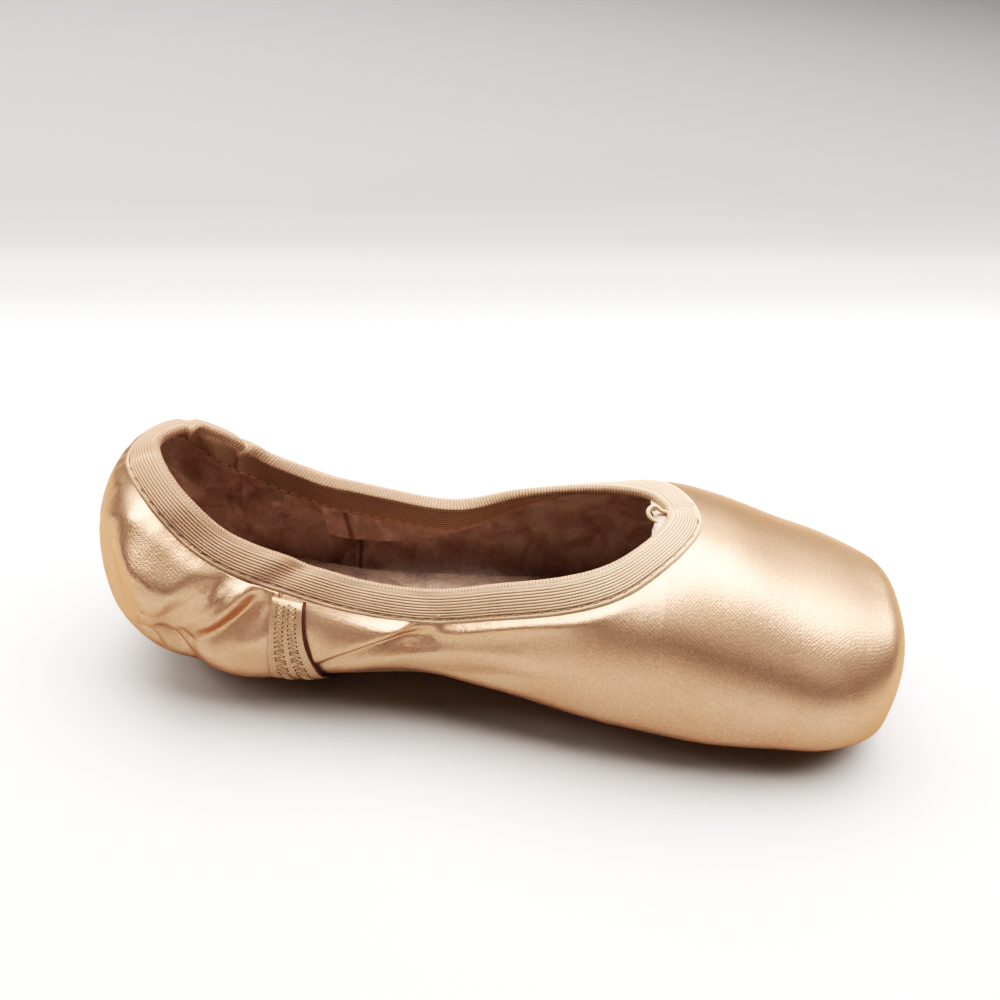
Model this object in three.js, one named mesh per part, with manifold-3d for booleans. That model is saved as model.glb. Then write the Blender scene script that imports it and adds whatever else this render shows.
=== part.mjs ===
import * as THREE from 'three';
import { LoftGeometry } from 'three/addons/geometries/LoftGeometry.js';
import { mergeVertices } from 'three/addons/utils/BufferGeometryUtils.js';
import Module from 'manifold-3d';

// A pointe shoe that stands empty on its sole. Millimetres, +X to the toe, +Y to its left, +Z up.
// Places along the shoe are measured from the back of the heel to the flat tip of the toe.

const wasm = await Module();
wasm.setup();

// Driving sizes

const length = 235;
const gap = 0.3;
const panelThick = 0.9;
const bandThick = 1.0;
const bindingThick = 0.8;
const bindingWidth = 10;
const soleThick = 2.8;
const soleWear = 0.5;
const insoleThick = 2.2;
const tipWall = 5;

const heelBack = gap + panelThick;
const heelCentre = 29;
const heelSquareness = 2.2;
const toeRound = 6.5;

// The last, as sections across the shoe. half is half the width, at the height widest; under and
// over say how square the section is below and above it (2 is an ellipse); wall is the upper's.

const sectionColumns = ['x', 'half', 'widest', 'bottom', 'crown', 'under', 'over', 'wall'];
const sectionRows = [
  [0, 28.0, 28.0, 6.0, 70.0, 2.3, 2.5, 1.4],
  [17, 29.0, 26.0, 4.2, 70.0, 2.3, 2.5, 1.4],
  [29, 30.3, 22.0, 3.1, 66.5, 2.3, 2.5, 1.4],
  [45, 32.2, 17.5, 3.1, 56.5, 2.4, 2.4, 1.4],
  [60, 32.2, 17.5, 3.1, 50.5, 2.4, 2.4, 1.5],
  [80, 30.8, 19.0, 5.5, 46.0, 2.4, 2.4, 1.6],
  [100, 30.0, 19.5, 8.0, 44.5, 2.3, 2.4, 1.7],
  [120, 32.0, 19.0, 6.5, 51.0, 2.4, 2.4, 1.9],
  [150, 36.4, 16.5, 3.2, 57.3, 2.7, 2.4, 2.4],
  [165, 37.8, 15.5, 3.1, 60.0, 2.9, 2.4, 2.8],
  [180, 39.0, 14.5, 3.1, 56.5, 2.9, 2.4, 3.0],
  [200, 38.2, 14.5, 3.1, 48.8, 2.9, 2.4, 3.0],
  [215, 36.6, 14.5, 3.2, 43.9, 2.9, 2.4, 3.0],
  [227, 30.7, 14.5, 3.4, 40.0, 2.9, 2.5, 3.0],
  [235, 22.5, 14.5, 3.8, 38.2, 2.9, 2.6, 3.0],
];

// The soft folds of the satin, each along a line seen from the side; side -1 is the right side.
// depth is how far the ridge stands out, or the trough sinks in where it is negative.

const foldColumns = ['side', 'x0', 'z0', 'x1', 'z1', 'depth', 'width'];
const foldRows = [
  [-1, 11, 47, 16, 24, -3.0, 5.0],
  [-1, 38, 43, 18, 24, 2.2, 5.0],
  [-1, 57, 41, 44, 24, -3.4, 5.5],
  [-1, 44, 24, 33, 15, -2.4, 5.0],
  [-1, 54, 26, 44, 14, 1.8, 6.0],
  [-1, 70, 20, 88, 29, 1.6, 5.0],
  [-1, 88, 29, 106, 37, 1.8, 5.0],
  [-1, 92, 22, 112, 31, -2.2, 5.5],
  [1, 13, 45, 20, 25, -2.8, 5.0],
  [1, 33, 44, 23, 24, 2.0, 5.0],
  [1, 54, 42, 38, 20, -3.0, 5.5],
  [1, 52, 26, 43, 13, 1.6, 6.0],
  [1, 72, 22, 104, 36, 1.7, 5.0],
  [1, 94, 21, 114, 30, -2.0, 5.5],
];

// The collar's edge seen from above, as half the width of the opening along the shoe.

const collarColumns = ['x', 'half'];
const collarRows = [
  [20.5, 0],
  [22.6, 5.0],
  [27.0, 10.5],
  [33.0, 14.6],
  [42.0, 17.2],
  [60.0, 18.2],
  [80.0, 19.2],
  [101.0, 19.0],
  [120.0, 19.6],
  [136.0, 19.0],
  [147.0, 16.6],
  [155.0, 12.0],
  [160.4, 6.5],
  [163.2, 0],
];

// The outsole's outline, in the same way: a narrow leaf, set in from the shoe's edge.

const outsoleColumns = ['x', 'half'];
const outsoleRows = [
  [11, 0],
  [13, 8.0],
  [20, 14.0],
  [35, 17.5],
  [55, 17.0],
  [80, 13.5],
  [100, 12.5],
  [125, 16.5],
  [155, 23.0],
  [180, 25.0],
  [200, 23.0],
  [213, 16.0],
  [219, 8.0],
  [221, 0],
];

// The side seam band's rear and front edges, seen from the side.

const bandColumns = ['z', 'rear', 'front'];
const bandRows = [
  [-2, 60.0, 77.0],
  [6, 57.5, 73.0],
  [12, 55.8, 70.2],
  [18, 55.2, 68.2],
  [26, 55.8, 66.2],
  [34, 56.6, 65.4],
  [42, 57.2, 65.6],
  [60, 58.0, 66.4],
];

// Reading the tables

function named(columns, rows) {
  return rows.map((row) => Object.fromEntries(columns.map((name, i) => [name, row[i]])));
}

const folds = named(foldColumns, foldRows);
const collar = named(collarColumns, collarRows);
const outsoleEdge = named(outsoleColumns, outsoleRows);
const bandEdges = named(bandColumns, bandRows);

const sectionCurve = new THREE.CubicInterpolant(
  sectionRows.map((row) => row[0]),
  sectionRows.flatMap((row) => row.slice(1)),
  sectionColumns.length - 1,
);

function sectionAt(x) {
  const values = sectionCurve.evaluate(x);
  return Object.fromEntries(sectionColumns.slice(1).map((name, i) => [name, values[i]]));
}

// How far the folds move the side of the shoe, at a place seen from the side

function foldAt(side, x, z) {
  const place = new THREE.Vector3(x, 0, z);
  const nearest = new THREE.Vector3();
  let move = 0;
  for (const fold of folds) {
    if (fold.side !== side) continue;
    const from = new THREE.Vector3(fold.x0, 0, fold.z0);
    const to = new THREE.Vector3(fold.x1, 0, fold.z1);
    new THREE.Line3(from, to).closestPointToPoint(place, true, nearest);
    move += fold.depth * Math.exp(-((place.distanceTo(nearest) / fold.width) ** 2));
  }
  return move;
}

// The round of the heel in plan: how far its edge lies from the heel's centre, for a turn that
// is 0 at the shoe's side and a quarter turn at its back

function heelReach(turn) {
  const side = sectionAt(heelCentre).half;
  const back = heelCentre - heelBack;
  const across = (Math.cos(turn) / side) ** heelSquareness;
  const along = (Math.sin(turn) / back) ** heelSquareness;
  return (across + along) ** (-1 / heelSquareness);
}

// The stations around the last, counter-clockwise seen from above: across the flat tip, back
// along the left side, round the heel and forward along the right side

const sideSteps = 16;
const sideCrowding = 1.15;
const heelSteps = 14;
const toeRoundSteps = 3;
const levelSteps = 16;
const toeStart = length - toeRound;

function makeStations() {
  const toe = [];
  for (let i = 0; i < toeRoundSteps; i++) {
    const angle = (i / toeRoundSteps) * (Math.PI / 2);
    toe.push({
      x: toeStart + toeRound * Math.cos(angle),
      inset: toeRound * (1 - Math.sin(angle)),
    });
  }
  const side = [];
  for (let i = 0; i <= sideSteps; i++) {
    const left = (1 - i / sideSteps) ** sideCrowding;
    side.push({ x: THREE.MathUtils.lerp(heelCentre, toeStart, left), inset: 0 });
  }
  const left = [...toe, ...side].map((place) => ({ ...place, side: 1, turn: 0, across: 1 }));
  const right = left.map((place) => ({ ...place, side: -1 })).reverse();
  const heel = [];
  for (let i = 1; i < heelSteps; i++) {
    const round = (i / heelSteps) * Math.PI;
    const half = Math.min(round, Math.PI - round);
    heel.push({ x: heelCentre, inset: 0, side: round <= Math.PI / 2 ? 1 : -1, turn: half, across: 1 });
  }
  const tip = [-1 / 3, 1 / 3].map((part) => {
    return { ...left[0], side: Math.sign(part), across: Math.abs(part) };
  });
  return [...tip, ...left, ...heel, ...right];
}

const stations = makeStations();

// A point of the last's surface, or of one that lies outside it by grow (inside where negative);
// level runs from 0 at the bottom line to 1 at the crown line

function lastPoint(station, level, grow) {
  const { x, side, turn, inset, across } = station;
  const beside = sectionAt(x);
  const out = grow.side(x) - inset;
  const angle = (level - 0.5) * Math.PI;
  const power = 2 / (level < 0.5 ? beside.under : beside.over);
  const inward = Math.cos(angle) ** power;
  const edge = turn > 0 ? heelReach(turn) : beside.half;

  const placeX = turn > 0 ? x - edge * inward * Math.sin(turn) : x;
  const section = turn > 0 ? sectionAt(placeX) : beside;
  const rise = Math.abs(Math.sin(angle)) ** power;
  const heightAt = (more) => {
    if (level < 0.5) return section.widest - (section.widest - section.bottom + more) * rise;
    return section.widest + (section.crown + more - section.widest) * rise;
  };

  const reach = (edge + out) * inward + foldAt(side, placeX, heightAt(0)) * Math.min(1, 3 * inward);
  const stretch = grow.tip * THREE.MathUtils.clamp((x - heelCentre) / (length - heelCentre), 0, 1);
  return new THREE.Vector3(
    x + stretch - reach * Math.sin(turn),
    side * reach * across * Math.cos(turn),
    heightAt(out),
  );
}

const outside = (distance) => ({ side: () => distance, tip: distance });
const inside = (distance) => ({
  side: (x) => -sectionAt(x).wall - distance,
  tip: -tipWall - distance,
});

// Closed meshes to solids, and back

function toSolid(geometry) {
  const bare = new THREE.BufferGeometry();
  bare.setAttribute('position', geometry.attributes.position);
  bare.setIndex(geometry.index);
  const merged = mergeVertices(bare, 1e-4);
  const index = merged.index.array;
  const faces = [];
  for (let i = 0; i < index.length; i += 3) {
    const [a, b, c] = index.slice(i, i + 3);
    if (a !== b && b !== c && c !== a) faces.push(a, b, c);
  }
  return new wasm.Manifold(new wasm.Mesh({
    numProp: 3,
    vertProperties: new Float32Array(merged.attributes.position.array),
    triVerts: new Uint32Array(faces),
  }));
}

function toGeometry(solid) {
  const mesh = solid.getMesh();
  const geometry = new THREE.BufferGeometry();
  geometry.setAttribute('position', new THREE.BufferAttribute(mesh.vertProperties, 3));
  geometry.setIndex(new THREE.BufferAttribute(mesh.triVerts, 1));
  geometry.computeVertexNormals();
  return geometry;
}

// The last as a solid, grown or shrunk

function lastSolid(grow) {
  const rings = [];
  for (let i = 0; i <= levelSteps; i++) {
    rings.push(stations.map((station) => lastPoint(station, i / levelSteps, grow)));
  }
  return toSolid(new LoftGeometry(rings));
}

// A layer that lies on the last: from one distance out to another

function layer(outer, inner) {
  return lastSolid(outer).subtract(lastSolid(inner));
}

// Outlines seen from above, from rows of half widths, made wider by more

function planPoints(rows, more, count) {
  const last = rows.length - 1;
  const edge = rows.map((row, i) => {
    const end = i === 0 ? -more : i === last ? more : 0;
    return new THREE.Vector3(row.x + end, row.half > 0 ? row.half + more : 0, 0);
  });
  const mirrored = edge.slice(1, last).reverse().map((p) => new THREE.Vector3(p.x, -p.y, 0));
  const round = new THREE.CatmullRomCurve3([...edge, ...mirrored], true, 'centripetal');
  return round.getPoints(count).slice(0, count).reverse();
}

function planPrism(rows, more, low, high, count) {
  const shape = new THREE.Shape(planPoints(rows, more, count).map((p) => new THREE.Vector2(p.x, p.y)));
  const geometry = new THREE.ExtrudeGeometry(shape, { depth: high - low, bevelEnabled: false });
  return toSolid(geometry.translate(0, 0, low));
}

// A region seen from the side, as a solid across the shoe from one y to another

function sidePrism(points, fromY, toY) {
  const shape = new THREE.Shape(points.map(([x, z]) => new THREE.Vector2(x, z)));
  const geometry = new THREE.ExtrudeGeometry(shape, { depth: toY - fromY, bevelEnabled: false });
  return toSolid(geometry.rotateX(Math.PI / 2).translate(0, toY, 0));
}

// The height of the last's upper side over a place in plan

function topHeight(x, y) {
  const section = sectionAt(x);
  const turn = x < heelCentre ? Math.atan2(heelCentre - x, Math.abs(y)) : 0;
  const from = turn > 0 ? Math.hypot(heelCentre - x, y) : Math.abs(y);
  const edge = turn > 0 ? heelReach(turn) : section.half;
  const over = sectionAt(Math.max(x, heelCentre)).over;
  const part = Math.min(1, from / edge) ** over;
  return section.widest + (section.crown - section.widest) * (1 - part) ** (1 / over);
}

// Everything above the collar's edge, with the edge moved down the surface by drop. Its wall
// runs out from a core line inside the shoe through the edge.

const coreFrom = 32;
const coreTo = 150;
const coreHeight = 22;
const cutterTop = 120;
const cutterReach = 1.7;
const collarPoints = 52;

function collarCutter(drop) {
  const edge = planPoints(collar, 0, collarPoints).map((p) => p.setZ(topHeight(p.x, p.y)));
  const core = (x, z) => new THREE.Vector3(THREE.MathUtils.clamp(x, coreFrom, coreTo), 0, z);
  const step = 0.25;
  const wall = edge.map((p, i) => {
    const along = edge[(i + 1) % edge.length].clone().sub(edge.at(i - 1)).normalize();
    const slopeX = (topHeight(p.x + step, p.y) - topHeight(p.x - step, p.y)) / (2 * step);
    const slopeY = (topHeight(p.x, p.y + step) - topHeight(p.x, p.y - step)) / (2 * step);
    const up = new THREE.Vector3(-slopeX, -slopeY, 1).normalize();
    const down = along.cross(up).normalize();
    const moved = p.clone().addScaledVector(down, drop);
    const start = core(moved.x, coreHeight);
    return start.clone().lerp(moved, cutterReach);
  });
  const low = wall.map((p) => core(p.x, coreHeight));
  const raised = wall.map((p) => p.clone().setZ(cutterTop));
  const high = wall.map((p) => core(p.x, cutterTop));
  return toSolid(new LoftGeometry([low, wall, raised, high]));
}

// Upper: one hollow satin, canvas and paste shell, open at the collar and over the sole

const rimFold = gap + bindingThick;
const seamAllowance = 5;
const underside = -10;
const outlinePoints = 39;
const openingTop = 14;

const upperSolid = layer(outside(0), inside(0))
  .subtract(collarCutter(rimFold))
  .subtract(planPrism(outsoleEdge, -seamAllowance, underside, openingTop, outlinePoints));

// Outsole: a leather leaf under the shoe, worn flat where heel and ball stand on the floor

const soleTop = 18;
const floorBlock = toSolid(new THREE.BoxGeometry(2 * length, length, 20).translate(0, 0, -10));
const outsoleSolid = layer(outside(gap + soleThick + soleWear), outside(gap))
  .intersect(planPrism(outsoleEdge, 0, underside, soleTop, outlinePoints))
  .subtract(floorBlock);

// Insole: a board inside the shoe, over the opening that the outsole closes

const insoleMargin = 3;
const insoleTop = 24;
const insoleSolid = layer(inside(gap), inside(gap + insoleThick))
  .intersect(planPrism(outsoleEdge, insoleMargin, underside, insoleTop, outlinePoints));

// Binding: a knitted tape folded over the collar's edge, one leaf outside and one inside

const bindingSolid = layer(outside(gap + bindingThick), inside(gap + bindingThick))
  .intersect(collarCutter(rimFold + bindingWidth))
  .subtract(collarCutter(0))
  .subtract(layer(outside(gap), inside(gap)).subtract(collarCutter(bindingThick)));

// Heel panel: stretch satin around the heel, from the binding down to the outsole

const panelClear = 0.5;
const belowBinding = collarCutter(rimFold + bindingWidth + gap);
const aroundSole = planPrism(outsoleEdge, panelClear, underside, soleTop, outlinePoints);
const acrossHalf = 60;
const behindHeel = -20;
const aboveHeel = 90;
const panelOutline = [
  [behindHeel, bandEdges[0].z],
  ...bandEdges.map((row) => [row.rear - gap, row.z]),
  [behindHeel, aboveHeel],
];
const heelPanelSolid = layer(outside(gap + panelThick), outside(gap))
  .intersect(sidePrism(panelOutline, -acrossHalf, acrossHalf))
  .subtract(belowBinding)
  .subtract(aroundSole);

// Side seam bands: a tape over each side seam, from the binding down to the outsole

const bandOutline = [
  ...bandEdges.map((row) => [row.front, row.z]),
  ...bandEdges.map((row) => [row.rear, row.z]).reverse(),
];

function seamBand(side) {
  const fromY = side > 0 ? 1 : -acrossHalf;
  const toY = side > 0 ? acrossHalf : -1;
  return layer(outside(gap + bandThick), outside(gap))
    .intersect(sidePrism(bandOutline, fromY, toY))
    .subtract(belowBinding)
    .subtract(aroundSole);
}

// Drawstring loop: the bight of a thin cord that comes out of the binding at the throat

const cordRadius = 0.65;
const cordSides = 8;
const cordSteps = 10;
const cordPlaces = [
  [161.6, 1.5, 60.0],
  [160.4, 2.1, 60.6],
  [159.0, 1.9, 60.7],
  [158.0, 0.5, 60.3],
  [158.5, -1.0, 59.4],
  [160.3, -1.7, 58.5],
  [161.6, -1.4, 58.2],
];

function drawstringLoop() {
  const path = new THREE.CatmullRomCurve3(cordPlaces.map((place) => new THREE.Vector3(...place)));
  const section = new THREE.Shape();
  for (let i = 0; i < cordSides; i++) {
    const angle = (i / cordSides) * 2 * Math.PI;
    const corner = [cordRadius * Math.cos(angle), cordRadius * Math.sin(angle)];
    if (i === 0) section.moveTo(...corner);
    else section.lineTo(...corner);
  }
  return toSolid(new THREE.ExtrudeGeometry(section, { steps: cordSteps, extrudePath: path }));
}

// Materials

const peachSatin = new THREE.MeshStandardMaterial({ color: '#e3bd96', roughness: 0.38, metalness: 0 });
const knitTape = new THREE.MeshStandardMaterial({ color: '#c39b7b', roughness: 0.7, metalness: 0 });
const sueded = new THREE.MeshStandardMaterial({ color: '#8a6248', roughness: 0.85, metalness: 0 });
const cordCotton = new THREE.MeshStandardMaterial({ color: '#ded0b8', roughness: 0.8, metalness: 0 });
const insoleBoard = new THREE.MeshStandardMaterial({ color: '#7b5a48', roughness: 0.85, metalness: 0 });

// The shoe

const shoe = new THREE.Group();
shoe.position.x = -length / 2;

function addPiece(name, solid, material) {
  const mesh = new THREE.Mesh(toGeometry(solid), material);
  mesh.name = name;
  shoe.add(mesh);
}

addPiece('outsole', outsoleSolid, sueded);
addPiece('insole', insoleSolid, insoleBoard);
addPiece('upper', upperSolid, peachSatin);
addPiece('heel_panel', heelPanelSolid, peachSatin);
addPiece('side_seam_band_left', seamBand(1), peachSatin);
addPiece('side_seam_band_right', seamBand(-1), peachSatin);
addPiece('binding', bindingSolid, knitTape);
addPiece('drawstring_loop', drawstringLoop(), cordCotton);

export default shoe;
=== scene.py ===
import math

import bpy
import numpy as np
from mathutils import Matrix, Vector


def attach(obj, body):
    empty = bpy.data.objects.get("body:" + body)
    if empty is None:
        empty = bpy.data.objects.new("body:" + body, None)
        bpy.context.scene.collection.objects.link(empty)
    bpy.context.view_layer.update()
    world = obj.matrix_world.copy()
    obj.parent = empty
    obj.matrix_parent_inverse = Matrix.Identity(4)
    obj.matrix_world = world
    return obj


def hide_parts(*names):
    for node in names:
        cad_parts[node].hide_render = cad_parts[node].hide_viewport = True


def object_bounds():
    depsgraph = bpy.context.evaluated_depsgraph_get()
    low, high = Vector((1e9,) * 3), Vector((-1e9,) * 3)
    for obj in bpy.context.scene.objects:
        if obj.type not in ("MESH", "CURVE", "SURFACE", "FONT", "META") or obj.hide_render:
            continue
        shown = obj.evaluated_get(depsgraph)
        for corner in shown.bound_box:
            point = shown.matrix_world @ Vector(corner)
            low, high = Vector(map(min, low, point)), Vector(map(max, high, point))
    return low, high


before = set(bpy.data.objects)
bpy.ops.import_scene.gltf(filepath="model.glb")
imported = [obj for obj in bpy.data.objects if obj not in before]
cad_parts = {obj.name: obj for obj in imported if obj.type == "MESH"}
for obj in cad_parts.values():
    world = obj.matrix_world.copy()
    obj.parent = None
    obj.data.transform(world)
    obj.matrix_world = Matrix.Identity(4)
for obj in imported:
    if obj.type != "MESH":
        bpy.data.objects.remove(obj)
cad_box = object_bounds()
mm = 0.001


# Camera: a hand-held picture from the shoe's right side, well above the floor and rolled a
# little. It stands about a quarter of a metre off, so the toe looks larger than the heel.

camera_azimuth = math.radians(3.69)
camera_elevation = math.radians(39.68)
camera_roll = math.radians(3.31)
camera_distance = 280.9 * mm
camera_target = Vector((-1.0, 0, 59.3)) * mm
focal_length = 36
film_width = 36

backwards = Vector((
    math.sin(camera_azimuth) * math.cos(camera_elevation),
    -math.cos(camera_azimuth) * math.cos(camera_elevation),
    math.sin(camera_elevation),
))
level_right = (-backwards).cross(Vector((0, 0, 1))).normalized()
level_up = level_right.cross(-backwards)
rolled_right = level_right * math.cos(camera_roll) + level_up * math.sin(camera_roll)
rolled_up = level_up * math.cos(camera_roll) - level_right * math.sin(camera_roll)
turned = Matrix((rolled_right, rolled_up, backwards)).transposed().to_4x4()

bpy.ops.object.camera_add()
camera = bpy.context.object
camera.name = "camera"
camera.matrix_world = Matrix.Translation(camera_target + backwards * camera_distance) @ turned
camera.data.lens = focal_length
camera.data.sensor_width = film_width
camera.data.clip_start = 0.01
bpy.context.scene.camera = camera


# Floor and light: a white tabletop, greyed towards the back with painted shade. Soft lights stand
# overhead, behind and at a window on the left, and three strips overhead show only as shine in the
# satin. The room in front stays dark, so the satin's side has a dark band.

floor_slant = math.radians(11)
floor_size = 8
floor_level = -0.2 * mm
# Painted shade on the tabletop: how grey it is, by the distance behind the shoe in millimetres.
floor_painted_shade = [
    (120, "#dcdbd9"), (196, "#d3d2d0"), (214, "#c0bfbd"), (236, "#b0afad"), (262, "#abaaa8"),
    (279, "#a1a09e"), (292, "#9a9997"), (344, "#929190"), (520, "#908f8d"), (740, "#92918f"),
]
# Each lamp's size and place in metres, its power, and whether it lights the scene or only shines.
lamp_rows = [
    ("overhead_softbox", (2.2, 0.8), (0.10, 0.36, 0.80), 22, "lights"),
    ("shine_strip", (2.2, 0.7), (0.10, -0.12, 0.80), 18, "shines"),
    ("front_shine_strip", (2.2, 0.45), (0.10, -0.80, 0.60), 1.6, "shines"),
    ("back_shine_strip", (2.2, 0.5), (0.10, 0.58, 0.75), 3, "shines"),
    ("back_softbox", (2.4, 1.5), (-0.2, 1.5, 0.9), 9, "lights"),
    ("left_window", (0.6, 0.5), (-0.9, 0.1, 0.5), 4, "lights"),
]
light_aim = Vector((0.0, 0.0, 0.03))
room_colour = "#f0dcc4"
room_light = 0.02
brightest = 1.08
tone_curve = [(0.024, 0.009), (0.0625, 0.045), (0.098, 0.095), (0.173, 0.243), (0.248, 0.395),
              (0.375, 0.580), (0.598, 0.800), (0.844, 0.950)]


def linear(hex_colour):
    """An sRGB hex colour as Blender's linear one."""
    parts = [int(hex_colour[i:i + 2], 16) / 255 for i in (1, 3, 5)]
    return [p / 12.92 if p <= 0.04045 else ((p + 0.055) / 1.055) ** 2.4 for p in parts] + [1]


def fill(tree, socket, value):
    """Links an output to an input, or sets the input to a number or a hex colour."""
    if isinstance(value, bpy.types.NodeSocket):
        tree.links.new(value, socket)
    else:
        socket.default_value = linear(value) if isinstance(value, str) else value


def add_node(tree, kind, *values, output=None, **settings):
    """Adds a node and gives its output. Values fill its inputs in order, or by a capital name."""
    node = tree.nodes.new("ShaderNode" + kind)
    for name, value in settings.items():
        if name[0].islower():
            setattr(node, name, value)
    for socket, value in zip([end for end in node.inputs if end.enabled], values):
        fill(tree, socket, value)
    for name, value in settings.items():
        if name[0].isupper():
            fill(tree, node.inputs[name.replace("_", " ")], value)
    return node.outputs[output] if output else next(end for end in node.outputs if end.enabled)


def new_material(name, **finish):
    """A material with one Principled shader, whose sockets are set here."""
    material = bpy.data.materials.new(name)
    material.use_nodes = True
    tree = material.node_tree
    shader = tree.nodes["Principled BSDF"]
    for socket, value in finish.items():
        fill(tree, shader.inputs[socket.replace("_", " ")], value)
    return material, tree, shader


bpy.ops.mesh.primitive_plane_add(size=floor_size, location=(0, 0, floor_level))
tabletop = bpy.context.object
tabletop.name = "tabletop"
# Matt melamine board: pale, with the faintest sheen. Its colour greys towards the back with painted
# shade.
white_board, tree, shader = new_material(
    "white_melamine_board", Roughness=0.55, Specular_IOR_Level=0.25)
place = add_node(tree, "TexCoord", output="Object")
turned_place = add_node(tree, "Mapping", Vector=place, Rotation=(0, 0, -floor_slant))
away = add_node(tree, "SeparateXYZ", turned_place, output="Y")
nearest, farthest = floor_painted_shade[0][0], floor_painted_shade[-1][0]
part = add_node(tree, "MapRange", away, From_Min=nearest * mm, From_Max=farthest * mm)
painted_shade_ramp = add_node(tree, "ValToRGB", part)
stops = painted_shade_ramp.node.color_ramp.elements
while len(stops) < len(floor_painted_shade):
    stops.new(0.5)
for stop, (distance, tone) in zip(stops, floor_painted_shade):
    stop.position = (distance - nearest) / (farthest - nearest)
    stop.color = linear(tone)
fill(tree, shader.inputs["Base Color"], painted_shade_ramp)
tabletop.data.materials.append(white_board)

for name, size, place, power, task in lamp_rows:
    bpy.ops.object.light_add(type="AREA", location=place)
    lamp = bpy.context.object
    lamp.name = name
    lamp.data.shape = "RECTANGLE"
    lamp.data.size, lamp.data.size_y = size
    lamp.data.energy = power
    lamp.rotation_euler = (light_aim - Vector(place)).to_track_quat("-Z", "Y").to_euler()
    lamp.visible_diffuse = task == "lights"
    lamp.visible_glossy = task == "shines"
room = bpy.data.worlds.new("dim_room")
room.use_nodes = True
room.node_tree.nodes["Background"].inputs["Color"].default_value = linear(room_colour)
room.node_tree.nodes["Background"].inputs["Strength"].default_value = room_light
bpy.context.scene.world = room
# The contrast of a telephone's picture: deep shadows, and highlights that fade to white.
picture = bpy.context.scene.view_settings
picture.view_transform = "Standard"
picture.use_curve_mapping = True
picture.curve_mapping.white_level = (brightest, brightest, brightest)
for shade, shown in tone_curve:
    picture.curve_mapping.curves[3].points.new(shade, shown)
picture.curve_mapping.update()


# The last: the wooden form that the shoe is pulled over, in millimetres from the heel's back.
# It isn't a piece. Its sections and main folds are the solids' own, so that each piece fits.

length = (cad_box[1].x - cad_box[0].x) / mm
heel_centre = 29
heel_back = 1.2
heel_squareness = 2.2
toe_round = 6.5
tip_wall = 5
core_height = 22
core_from = 32
core_to = 150
core_tip = 200

section_columns = ["half", "widest", "bottom", "crown", "under", "over", "wall"]
section_rows = [
    [0, 28.0, 28.0, 6.0, 70.0, 2.3, 2.5, 1.4],
    [17, 29.0, 26.0, 4.2, 70.0, 2.3, 2.5, 1.4],
    [29, 30.3, 22.0, 3.1, 66.5, 2.3, 2.5, 1.4],
    [45, 32.2, 17.5, 3.1, 56.5, 2.4, 2.4, 1.4],
    [60, 32.2, 17.5, 3.1, 50.5, 2.4, 2.4, 1.5],
    [80, 30.8, 19.0, 5.5, 46.0, 2.4, 2.4, 1.6],
    [100, 30.0, 19.5, 8.0, 44.5, 2.3, 2.4, 1.7],
    [120, 32.0, 19.0, 6.5, 51.0, 2.4, 2.4, 1.9],
    [150, 36.4, 16.5, 3.2, 57.3, 2.7, 2.4, 2.4],
    [165, 37.8, 15.5, 3.1, 60.0, 2.9, 2.4, 2.8],
    [180, 39.0, 14.5, 3.1, 56.5, 2.9, 2.4, 3.0],
    [200, 38.2, 14.5, 3.1, 48.8, 2.9, 2.4, 3.0],
    [215, 36.6, 14.5, 3.2, 43.9, 2.9, 2.4, 3.0],
    [227, 30.7, 14.5, 3.4, 40.0, 2.9, 2.5, 3.0],
    [235, 22.5, 14.5, 3.8, 38.2, 2.9, 2.6, 3.0],
]
collar_rows = [
    [20.5, 0], [22.6, 5.0], [27.0, 10.5], [33.0, 14.6], [42.0, 17.2], [60.0, 18.2], [80.0, 19.2],
    [101.0, 19.0], [120.0, 19.6], [136.0, 19.0], [147.0, 16.6], [155.0, 12.0], [160.4, 6.5],
    [163.2, 0],
]
outsole_rows = [
    [11, 0], [13, 8.0], [20, 14.0], [35, 17.5], [55, 17.0], [80, 13.5], [100, 12.5], [125, 16.5],
    [155, 23.0], [180, 25.0], [200, 23.0], [213, 16.0], [219, 8.0], [221, 0],
]


def curve_through(rows, x):
    """A smooth curve through a table: each tangent is the mean of the slopes beside it."""
    rows = np.array(rows, float)
    knots, values = rows[:, 0], rows[:, 1:]
    x = np.clip(np.asarray(x, float), knots[0], knots[-1])
    slopes = np.diff(values, axis=0) / np.diff(knots)[:, None]
    tangents = np.concatenate([slopes[:1], (slopes[1:] + slopes[:-1]) / 2, slopes[-1:]])
    i = np.clip(np.searchsorted(knots, x, side="right") - 1, 0, len(knots) - 2)
    gap = (knots[i + 1] - knots[i])[..., None]
    p = (x - knots[i])[..., None] / gap
    start = (2 * p**3 - 3 * p**2 + 1) * values[i] + (p**3 - 2 * p**2 + p) * gap * tangents[i]
    end = (3 * p**2 - 2 * p**3) * values[i + 1] + (p**3 - p**2) * gap * tangents[i + 1]
    return start + end


def section_at(x):
    """The last's section at a place along the shoe, as a dictionary of its measures."""
    values = curve_through(section_rows, x)
    return {name: values[..., i] for i, name in enumerate(section_columns)}


def heel_reach(turn):
    """How far the heel's edge lies from its centre, for a turn of 0 at the side."""
    side = section_at(heel_centre)["half"]
    back = heel_centre - heel_back
    across = (np.cos(turn) / side) ** heel_squareness
    along = (np.abs(np.sin(turn)) / back) ** heel_squareness
    return (across + along) ** (-1 / heel_squareness)


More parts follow.
